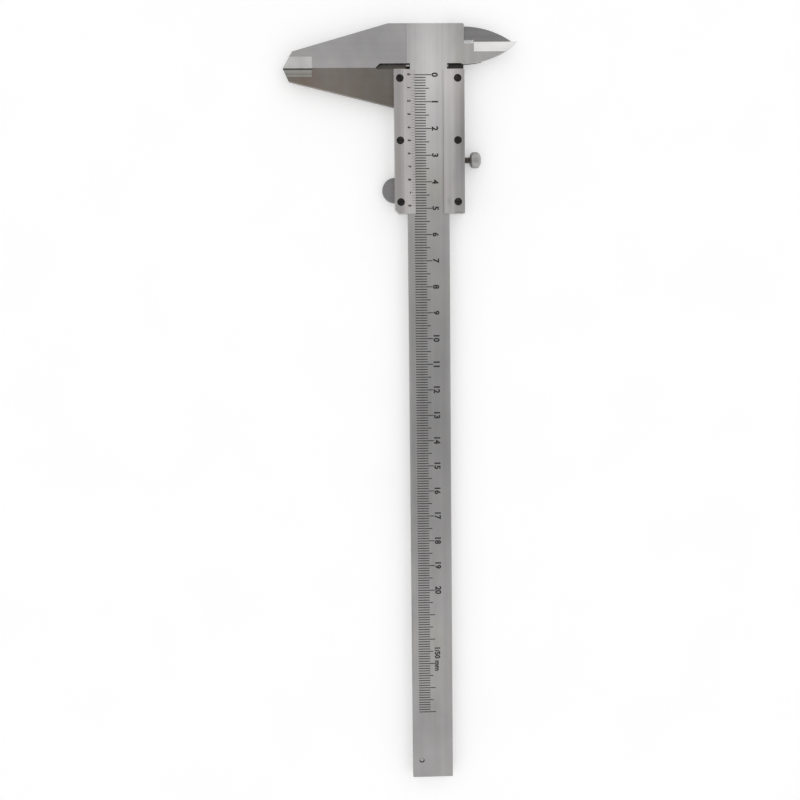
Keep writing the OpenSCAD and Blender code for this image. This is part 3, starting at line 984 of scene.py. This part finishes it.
    def build_screws(self, node: str, turns: tuple[float, ...]) -> None:
        """Makes a row of slotted screws, each left at the turn where it was driven tight.

        Args:
            node: the frame's node that holds the row.
            turns: how far each screw is turned, in degrees.
        """
        bm = self.shop.outline(node)
        low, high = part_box(node)
        radius = (high.y - low.y) / 2
        pitch = (high.x - low.x - 2 * radius) / (len(turns) - 1)
        for number, turn in enumerate(turns):
            middle = Vector((low.x + radius + number * pitch, low.y + radius, 0.0))
            own = [v for v in bm.verts if abs(v.co.x - middle.x) < pitch / 2]
            spin = Matrix.Rotation(math.radians(turn), 3, "Z")
            bmesh.ops.rotate(bm, verts=own, cent=middle, matrix=spin)
        self.shop.soften(bm, self.screw_edge_w * MM)
        piece = self.shop.finish(bm, node + "_finished", "slider", [BLACK_OXIDE], "black_oxide")
        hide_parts(node)

    def build_vernier(self) -> None:
        """Makes the vernier's lines and figures on the plate's sloping face."""
        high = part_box("vernier_plate")[1]
        run, drop = self.slope
        angle = math.atan2(drop, run)
        edge = Matrix.Translation((0.0, high.y, high.z - drop * MM))
        scale = Scale(edge @ Matrix.Rotation(-angle, 4, "X"))
        lines = bmesh.new()
        figures = bmesh.new()
        for step in range(self.divisions + 1):
            x = self.zero + step * self.pitch
            number, rest = divmod(step, self.numbered)
            length = self.long_len if rest == 0 else self.line_len
            scale.line(lines, x, -length, -self.line_gap, self.line_w)
            if rest == 0:
                text = str(number % 10)
                scale.figure(figures, text, x, self.figure_y, self.figure_h, self.figure_bold)
        self.shop.finish(
            lines, "vernier_scale_lines", "slider", [VERNIER_PAINT], "black_oxide", smooth=False
        )
        self.shop.finish(
            figures, "vernier_scale_figures", "slider", [SCALE_PAINT], "black_oxide", smooth=False
        )


@dataclass
class LockScrew:
    """The lock screw: a threaded stud and a round, finely knurled knob.

    Attributes:
        shop: makes the pieces.
        pitch: the thread's pitch, in metres.
        depth: the thread's depth, in metres.
        sides: how many sides a turn of the thread has.
        rings: how many rings a pitch has.
        nose: how long the stud's pointed end is, in mm.
        deepest: the deepest that the stud is cut, as a share of its radius.
        ridges: how many ridges the knurl has.
        ridge: how deep the knurl is cut, in metres.
        bore: the radius of the knob's bore, in metres.
        bore_depth: how deep the bore is, in metres.
        bore_edge: the width of the chamfer at its mouth, in metres.
        profile: the knob's rings, each as its height in mm, how much less than the knob's
            radius it reaches in mm, and whether it is ridged.
        crown: the height that the last ring but one lacks and the radius that it lacks, in mm.
        cap: the radius of the knob's flat end, as a share of its radius.
    """

    shop: Workshop
    pitch: float = 0.45 * MM
    depth: float = 0.24 * MM
    sides: int = 24
    rings: int = 6
    nose: float = 0.4
    deepest: float = 0.6
    ridges: int = 44
    ridge: float = 0.09 * MM
    bore: float = 1.22 * MM
    bore_depth: float = 3.0 * MM
    bore_edge: float = 0.15 * MM
    profile: tuple[tuple[float, float, bool], ...] = (
        (0.05, 1.3, False),
        (0.3, 0.7, False),
        (0.65, 0.25, False),
        (1.0, 0.0, True),
        (3.0, 0.0, True),
        (3.45, 0.25, False),
        (3.85, 0.65, False),
        (4.15, 1.2, False),
    )
    crown: tuple[float, float] = (0.06, 1.9)
    cap: float = 0.2

    def build(self) -> None:
        """Makes the stud and the knob."""
        self.build_stud()
        self.build_knob()

    def build_stud(self) -> None:
        """Makes the stud as a closed sleeve of rings, displaced into a helix."""
        low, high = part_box("lock_screw_stud")
        radius = (high.x - low.x) / 2
        axis = Vector(((low.x + high.x) / 2, 0.0, (low.z + high.z) / 2))
        step = self.pitch / self.rings
        count = int((high.y - low.y) / step)
        bm = bmesh.new()
        foot = Matrix.Translation((axis.x, low.y, axis.z))
        bmesh.ops.create_circle(
            bm, cap_ends=False, segments=self.sides, radius=radius, matrix=foot @ TO_Y
        )
        rim = list(bm.edges)
        bmesh.ops.contextual_create(bm, geom=rim)
        for _ in range(count):
            grown = bmesh.ops.extrude_edge_only(bm, edges=rim)["geom"]
            rim = [g for g in grown if isinstance(g, bmesh.types.BMEdge)]
            ring = [g for g in grown if isinstance(g, bmesh.types.BMVert)]
            bmesh.ops.translate(bm, verts=ring, vec=(0.0, (high.y - low.y) / count, 0.0))
        bmesh.ops.contextual_create(bm, geom=rim)
        for vert in bm.verts:
            arm = Vector((vert.co.x - axis.x, 0.0, vert.co.z - axis.z))
            turns = (vert.co.y - low.y) / self.pitch - math.atan2(arm.z, arm.x) / math.tau
            groove = abs(2 * (turns % 1.0) - 1)
            nose = max(0.0, 1 - (vert.co.y - low.y) / (self.nose * MM)) * self.nose * MM
            reach = radius - min(nose + self.depth * groove * 0.5, radius * self.deepest)
            if groove > 0.5:  # the inner half of a groove is steeper
                reach -= self.depth * (groove - 0.5)
            vert.co.x = axis.x + arm.x / radius * reach
            vert.co.z = axis.z + arm.z / radius * reach
        bmesh.ops.recalc_face_normals(bm, faces=bm.faces)
        piece = self.shop.finish(
            bm, "lock_screw_stud_finished", "lock_stud", [STUD_STEEL], "stud_steel", smooth=False
        )
        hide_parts("lock_screw_stud")

    def build_knob(self) -> None:
        """Makes the knob from rings joined into a turned shape, with ridges on its grip."""
        low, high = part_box("lock_screw_knob")
        radius = (high.x - low.x) / 2
        length = high.y - low.y
        centre = Vector(((low.x + high.x) / 2, low.y, (low.z + high.z) / 2))
        drop, lack = self.crown
        rings = [
            (self.bore_depth, self.bore, False),
            (self.bore_edge, self.bore, False),
            (0.0, self.bore + self.bore_edge, False),
            *((up * MM, radius - less * MM, ridged) for up, less, ridged in self.profile),
            (length - drop * MM, radius - lack * MM, False),
            (length, radius * self.cap, False),
        ]
        turn = Matrix.Translation(centre) @ TO_Y
        bm = bmesh.new()
        before: list[bmesh.types.BMEdge] = []
        for number, (height, reach, ridged) in enumerate(rings):
            made = bmesh.ops.create_circle(
                bm, cap_ends=False, segments=self.ridges * 2, radius=reach
            )["verts"]
            for index, vert in enumerate(made):
                if ridged and index % 2:
                    vert.co *= 1 - self.ridge / reach
                vert.co.z = height
            bmesh.ops.transform(bm, matrix=turn, verts=made)
            edges = list({e for v in made for e in v.link_edges})
            if before:
                bmesh.ops.bridge_loops(bm, edges=before + edges)
            if number in (0, len(rings) - 1):
                bmesh.ops.contextual_create(bm, geom=edges)
            before = edges
        bmesh.ops.recalc_face_normals(bm, faces=bm.faces)
        piece = self.shop.finish(
            bm, "lock_screw_knob_finished", "lock_knob", [KNOB_NICKEL], "knob_nickel"
        )
        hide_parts("lock_screw_knob")


@dataclass
class Studio:
    """The floor, the soft light and the camera.

    Attributes:
        floor_size: the floor's side, in metres.
        floor_tone: the floor's darkest and palest grey.
        floor_cells: how many of its faint clouds lie in a metre.
        camera_at: the camera's place, in metres.
        look_at: the point it looks at, in metres.
        roll: how far it is turned about its line of sight, in degrees.
        lens: its focal length, in mm, on a 36 mm sensor.
        overhead: brightness of the light from straight above.
        beside: how much brighter it is from both long sides.
        beyond: how much brighter it is from past both ends.
        side_span: how far sideways the light comes from where the sides start and are full.
        end_span: how far lengthways it comes from where the ends start and are full.
        low_span: how high it comes from at the horizon and where it is full.
        low_share: the share of it that is left at the horizon.
        glow: how much light comes through the floor, as on a light table.
    """

    floor_size: float = 6.0
    floor_tone: tuple[float, float] = (0.93, 0.95)
    floor_cells: tuple[float, float, float] = (30.0, 30.0, 30.0)
    camera_at: tuple[float, float, float] = (0.07772, -0.0298, 0.45515)
    look_at: tuple[float, float, float] = (0.12653, -0.01184, 0.00515)
    roll: float = -0.607
    lens: float = 52.28
    overhead: float = 0.49
    beside: float = 0.36
    beyond: float = 0.38
    side_span: tuple[float, float] = (0.0, 0.48)
    end_span: tuple[float, float] = (0.5, 0.9)
    low_span: tuple[float, float] = (0.0, 0.35)
    low_share: float = 0.75
    glow: float = 0.24

    def build(self) -> None:
        """Makes the camera, the lights and the floor."""
        self.build_camera()
        self.build_sky()
        self.build_floor()
        bpy.context.scene.view_settings.view_transform = "Standard"

    def build_camera(self) -> None:
        """Places the camera above the beam, with the head at the top of the view."""
        data = bpy.data.cameras.new("camera")
        data.lens = self.lens
        data.sensor_width = 36.0
        data.clip_start = 0.01
        data.clip_end = 20.0
        camera = bpy.data.objects.new("camera", data)
        back = (Vector(self.camera_at) - Vector(self.look_at)).normalized()
        right = Vector((-1.0, 0.0, 0.0)).cross(back).normalized()
        up = back.cross(right)
        square = Matrix((right, up, back)).transposed().to_4x4()
        turned = square @ Matrix.Rotation(math.radians(self.roll), 4, "Z")
        camera.matrix_world = Matrix.Translation(self.camera_at) @ turned
        bpy.context.scene.collection.objects.link(camera)
        bpy.context.scene.camera = camera

    def build_sky(self) -> None:
        """Makes an even light that is dimmest straight overhead, like a pale room round a table."""
        world = bpy.data.worlds.new("pale_room")
        world.use_nodes = True
        graph = Graph(world.node_tree)
        towards = graph.add("ShaderNodeTexCoord").outputs["Generated"]
        split = graph.add("ShaderNodeSeparateXYZ", {0: towards})
        aside = graph.calc("ABSOLUTE", split.outputs["Y"])
        ahead = graph.calc("ABSOLUTE", split.outputs["X"])
        sides = graph.ease(aside, *self.side_span, (self.overhead, self.overhead + self.beside))
        ends = graph.ease(ahead, *self.end_span, (0.0, self.beyond))
        low = graph.ease(split.outputs["Z"], *self.low_span, (self.low_share, 1.0))
        level = graph.calc("MULTIPLY", graph.calc("ADD", sides, ends), low)
        background = graph.add(
            "ShaderNodeBackground", {"Color": (1.0, 1.0, 1.0, 1.0), "Strength": level}
        )
        graph.add("ShaderNodeOutputWorld", {"Surface": background.outputs[0]})
        bpy.context.scene.world = world

    def build_floor(self) -> None:
        """Lays the pale floor under the slider's back."""
        material = bpy.data.materials.new("floor_white")
        material.use_nodes = True
        graph = Graph(material.node_tree)
        clouds = graph.noise(graph.place(), self.floor_cells, 4.0)
        tone = graph.remap(clouds, *MIDDLING, self.floor_tone)
        shader = graph.add(
            "ShaderNodeBsdfPrincipled",
            {
                "Base Color": tone,
                "Roughness": 0.8,
                "Emission Color": (1.0, 1.0, 1.0, 1.0),
                "Emission Strength": self.glow,
            },
        )
        graph.add("ShaderNodeOutputMaterial", {"Surface": shader.outputs[0]})
        bm = bmesh.new()
        bmesh.ops.create_grid(bm, x_segments=1, y_segments=1, size=self.floor_size / 2)
        mesh = bpy.data.meshes.new("floor")
        bm.to_mesh(mesh)
        bm.free()
        mesh.materials.append(material)
        floor = bpy.data.objects.new("floor", mesh)
        bpy.context.scene.collection.objects.link(floor)


def main() -> None:
    """Builds the caliper around the frame, then the studio."""
    logging.basicConfig(level=logging.INFO, format="%(name)s: %(message)s")
    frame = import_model()
    Studio().build()
    shop = Workshop(frame["nodes"])
    Beam(shop).build()
    Slider(shop).build()
    LockScrew(shop).build()


if __name__ == "__main__":
    main()
